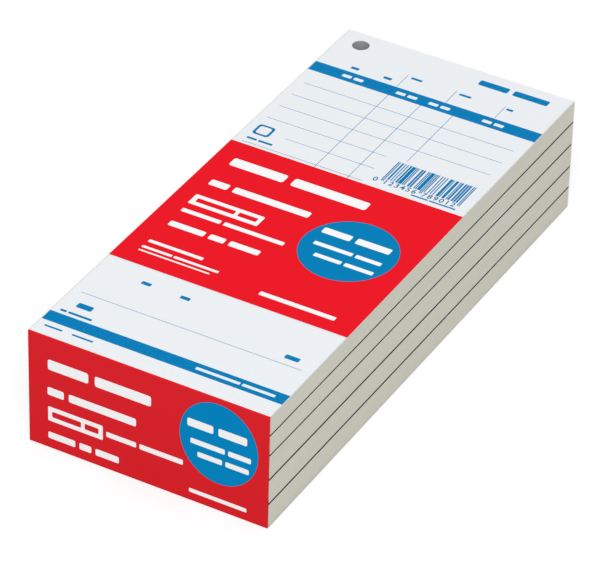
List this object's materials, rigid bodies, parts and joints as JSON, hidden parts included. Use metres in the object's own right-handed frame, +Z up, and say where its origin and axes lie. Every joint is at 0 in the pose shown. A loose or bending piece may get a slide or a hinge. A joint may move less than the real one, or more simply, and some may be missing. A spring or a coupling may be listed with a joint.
{
  "type": "wrapped pack of guest check pads",
  "caption": "Pack of glued guest check pads with punched heads and perforated bill stubs, held in a printed film wrap that is open at its long sides and folds back.",
  "frame": {"origin": "middle of the pack's underside", "axes": "+X across the checks towards their right edge, +Y along them towards their glued heads, +Z up"},
  "size_m": [0.075, 0.178, 0.0373],
  "materials": {
    "check_paper": "smooth white form paper",
    "paper_edges": "guillotined edges of a stack of sheets",
    "board": "uncoated grey chipboard",
    "glue": "dried white padding glue",
    "film": "clear packing film",
    "printed_film": "clear packing film printed in red, blue and white"
  },
  "bodies": {
    "wrap": {"wrap_base": "film"},
    "flap": {"wrap_flap": "printed_film"},
    "pad_1": {"sheet_block_1": "paper_edges", "glue_strip_1": "glue", "backing_board_1": "board"},
    "check": {"order_slip_1": "check_paper"},
    "stub": {"bill_stub_1": "check_paper"},
    "pad_2": {"order_slip_2": "check_paper", "bill_stub_2": "check_paper", "sheet_block_2": "paper_edges", "glue_strip_2": "glue", "backing_board_2": "board"},
    "pad_3": {"order_slip_3": "check_paper", "bill_stub_3": "check_paper", "sheet_block_3": "paper_edges", "glue_strip_3": "glue", "backing_board_3": "board"},
    "pad_4": {"order_slip_4": "check_paper", "bill_stub_4": "check_paper", "sheet_block_4": "paper_edges", "glue_strip_4": "glue", "backing_board_4": "board"},
    "pad_5": {"order_slip_5": "check_paper", "bill_stub_5": "check_paper", "sheet_block_5": "paper_edges", "glue_strip_5": "glue", "backing_board_5": "board"}
  },
  "joints": [
    {"name": "wrap_open", "type": "hinge", "parent": "wrap", "child": "flap", "pos_m": [0, 0.08896, 0.03729], "axis": [-1, 0, 0], "range_deg": [0, 170]},
    {"name": "check_turn", "type": "hinge", "parent": "pad_1", "child": "check", "pos_m": [0, 0.08838, 0.03708], "axis": [-1, 0, 0], "range_deg": [0, 130]},
    {"name": "stub_fold", "type": "hinge", "parent": "check", "child": "stub", "pos_m": [0, -0.04362, 0.03708], "axis": [-1, 0, 0], "range_deg": [0, 40]},
    {"name": "pad_1_slide", "type": "slide", "parent": "wrap", "child": "pad_1", "axis": [1, 0, 0], "range_m": [-0.08, 0.08]},
    {"name": "pad_2_slide", "type": "slide", "parent": "wrap", "child": "pad_2", "axis": [1, 0, 0], "range_m": [-0.08, 0.08]},
    {"name": "pad_3_slide", "type": "slide", "parent": "wrap", "child": "pad_3", "axis": [1, 0, 0], "range_m": [-0.08, 0.08]},
    {"name": "pad_4_slide", "type": "slide", "parent": "wrap", "child": "pad_4", "axis": [1, 0, 0], "range_m": [-0.08, 0.08]},
    {"name": "pad_5_slide", "type": "slide", "parent": "wrap", "child": "pad_5", "axis": [1, 0, 0], "range_m": [-0.08, 0.08]}
  ],
  "couplings": [
    {"joint": "check_turn", "follows": "wrap_open", "ratio": 0.75},
    {"joint": "stub_fold", "follows": "wrap_open", "ratio": 0.2}
  ]
}
